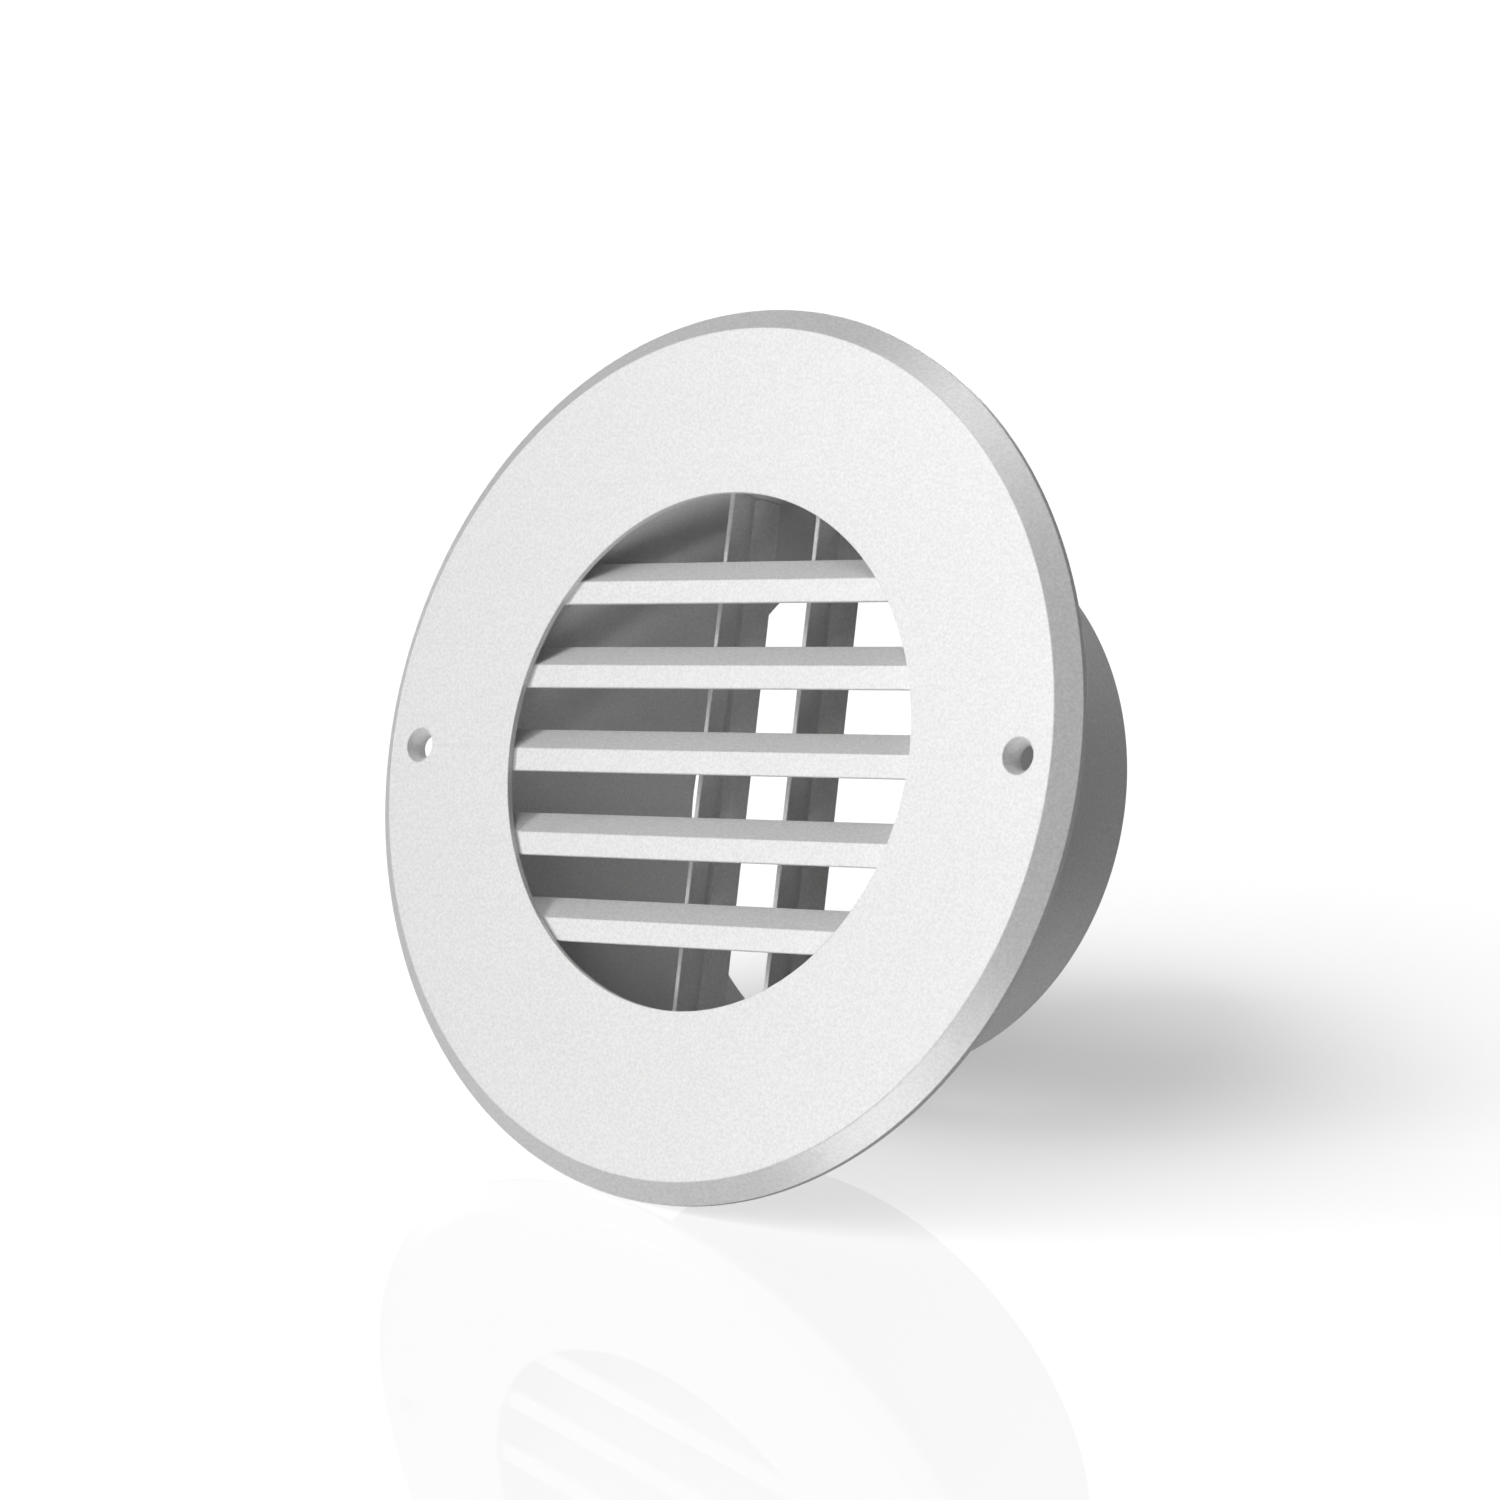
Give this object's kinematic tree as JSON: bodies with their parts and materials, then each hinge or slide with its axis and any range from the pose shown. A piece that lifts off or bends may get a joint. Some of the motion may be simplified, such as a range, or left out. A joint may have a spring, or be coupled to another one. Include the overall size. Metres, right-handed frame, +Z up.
{
  "type": "round louvred wall vent",
  "caption": "Round wall vent with a bevelled faceplate, fixed horizontal louvres, upright support bars and a duct collar behind.",
  "frame": {"origin": "on the duct axis, in the plane of the wall that the faceplate rests on", "axes": "+Y along the duct into the wall, -Y out to the room, +Z up across the louvres, +X to the right seen from the room"},
  "size_m": [0.1526, 0.0546, 0.1526],
  "materials": {
    "white_coat_face": "white powder coat, satin, fine grain, on cast aluminium",
    "white_coat_sheet": "white powder coat, satin, on aluminium sheet"
  },
  "bodies": {
    "root": {"faceplate": "white_coat_face", "duct_collar": "white_coat_sheet", "louvre_1": "white_coat_sheet", "louvre_2": "white_coat_sheet", "louvre_3": "white_coat_sheet", "louvre_4": "white_coat_sheet", "louvre_5": "white_coat_sheet", "support_bar_left": "white_coat_sheet", "support_bar_right": "white_coat_sheet"}
  },
  "joints": []
}
